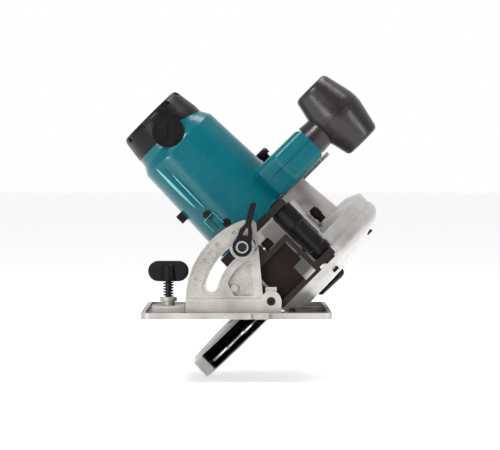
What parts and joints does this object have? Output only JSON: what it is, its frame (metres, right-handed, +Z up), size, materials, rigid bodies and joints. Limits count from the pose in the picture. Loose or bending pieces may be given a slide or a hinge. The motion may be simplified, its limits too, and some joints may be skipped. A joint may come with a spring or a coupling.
{
  "type": "circular saw",
  "caption": "Hand-held circular saw with a tilting base, stored at a bevel, with swinging lower guard, geared motor, D handle and front knob.",
  "frame": {"origin": "centre of the base plate's rectangle, on the sole plane", "axes": "+Z up out of the sole, -Y the cutting direction, +X to the blade side; the blade is stored tilted 45 degrees about +Y"},
  "size_m": [0.2584, 0.3785, 0.3097],
  "materials": {
    "teal_plastic": "satin",
    "black_plastic": "satin",
    "knob_plastic": "satin",
    "cast_alloy": "cast",
    "case_alloy": "cast",
    "gear_alloy": "cast",
    "black_steel": "satin",
    "dark_plate": "satin",
    "zinc_steel": "zinc plated",
    "bright_steel": "brushed",
    "blade_steel": "brushed",
    "carbide": "ground",
    "copper": "enamelled wire",
    "brass": "satin",
    "carbon": "matt",
    "laminations": "rolled",
    "rubber": "matt"
  },
  "bodies": {
    "base": {"base_plate": "cast_alloy", "front_quadrant": "cast_alloy", "rear_quadrant": "cast_alloy", "quadrant_screws": "bright_steel", "pivot_bolts": "black_steel", "guide_spring": "black_steel"},
    "guide_bolt": {"guide_bolt": "black_steel", "guide_knob": "black_plastic"},
    "tilt_frame": {"front_bracket": "black_steel", "front_shield": "dark_plate", "bevel_clamp_bolts": "black_steel", "bevel_clamp_washer": "zinc_steel", "depth_guide": "zinc_steel", "hinge_pin": "black_steel"},
    "bevel_lever": {"bevel_lever": "black_plastic", "bevel_lever_nut": "black_steel"},
    "rear_nut": {"rear_wing_nut": "black_steel"},
    "saw_body": {"hinge_barrel": "black_plastic", "blade_case": "case_alloy", "case_cover": "case_alloy", "gear_housing": "gear_alloy", "bearing_box": "gear_alloy", "retaining_ring": "bright_steel", "guard_spring": "bright_steel", "bearings": "bright_steel", "case_bolt": "black_plastic", "dust_spout": "black_plastic", "motor_housing": "teal_plastic", "motor_cap": "black_plastic", "case_screws": "black_steel", "brush_caps": "black_plastic", "brush_holders": "brass", "carbon_brushes": "carbon", "stator_core": "laminations", "field_coils": "copper", "wrench_clip": "black_plastic", "handle_left": "teal_plastic", "handle_right": "teal_plastic", "front_knob": "knob_plastic", "cord_gland": "rubber", "switch_body": "black_plastic", "depth_bolt": "zinc_steel"},
    "depth_lever": {"depth_lever": "black_plastic"},
    "lower_guard": {"lower_guard": "case_alloy", "guard_lever": "black_plastic"},
    "blade": {"blade_disc": "blade_steel", "blade_tips": "carbide", "spindle": "bright_steel", "drive_gear": "bright_steel", "inner_flange": "bright_steel", "outer_flange": "zinc_steel", "blade_bolt": "bright_steel"},
    "armature": {"armature_shaft": "bright_steel", "armature_core": "laminations", "armature_windings": "copper", "commutator": "copper", "fan": "black_plastic"},
    "trigger": {"trigger": "black_plastic"},
    "lock_button": {"lock_button": "black_plastic"},
    "shaft_lock": {"shaft_lock": "black_plastic"}
  },
  "joints": [
    {"name": "bevel_tilt", "type": "hinge", "parent": "base", "child": "tilt_frame", "pos_m": [0.0345, 0, 0.0175], "axis": [0, 1, 0], "range_deg": [-45, 5]},
    {"name": "guide_turn", "type": "hinge", "parent": "base", "child": "guide_bolt", "pos_m": [-0.068, -0.1245, 0.03], "axis": [0, 0, 1], "continuous": true},
    {"name": "bevel_lever_turn", "type": "hinge", "parent": "tilt_frame", "child": "bevel_lever", "pos_m": [0.00567, -0.155, 0.07149], "axis": [0, 1, 0], "range_deg": [-75, 0]},
    {"name": "rear_nut_turn", "type": "hinge", "parent": "tilt_frame", "child": "rear_nut", "pos_m": [0.0166, 0.157, 0.05102], "axis": [0, 1, 0], "continuous": true},
    {"name": "depth_swing", "type": "hinge", "parent": "tilt_frame", "child": "saw_body", "pos_m": [0.06349, -0.12, 0.08892], "axis": [0.7071, 0, -0.7071], "range_deg": [0, 29]},
    {"name": "depth_lever_turn", "type": "hinge", "parent": "saw_body", "child": "depth_lever", "pos_m": [0.0079, 0.11872, 0.06656], "axis": [0.7071, 0, -0.7071], "range_deg": [0, 45]},
    {"name": "guard_swing", "type": "hinge", "parent": "saw_body", "child": "lower_guard", "pos_m": [0.04907, 0.01, 0.0257], "axis": [0.7071, 0, -0.7071], "range_deg": [0, 105], "stiffness_Nm_per_rad": 0.15, "springref_deg": -68.75},
    {"name": "blade_spin", "type": "hinge", "parent": "saw_body", "child": "blade", "pos_m": [0.04907, 0.01, 0.0257], "axis": [0.7071, 0, -0.7071], "continuous": true},
    {"name": "armature_spin", "type": "hinge", "parent": "saw_body", "child": "armature", "pos_m": [-0.01599, -0.00077, 0.13035], "axis": [0.7071, 0, -0.7071], "continuous": true},
    {"name": "trigger_pull", "type": "slide", "parent": "saw_body", "child": "trigger", "axis": [0.6565, 0.3714, 0.6565], "range_m": [0, 0.0055], "stiffness_N_per_m": 400, "springref_m": -0.003},
    {"name": "lock_button_press", "type": "slide", "parent": "saw_body", "child": "lock_button", "axis": [0.7071, 0, -0.7071], "range_m": [0, 0.003], "stiffness_N_per_m": 400, "springref_m": -0.002},
    {"name": "shaft_lock_press", "type": "slide", "parent": "saw_body", "child": "shaft_lock", "axis": [0, 1, 0], "range_m": [0, 0.005], "stiffness_N_per_m": 400, "springref_m": -0.003}
  ],
  "couplings": [
    {"joint": "armature_spin", "follows": "blade_spin", "ratio": -4}
  ]
}
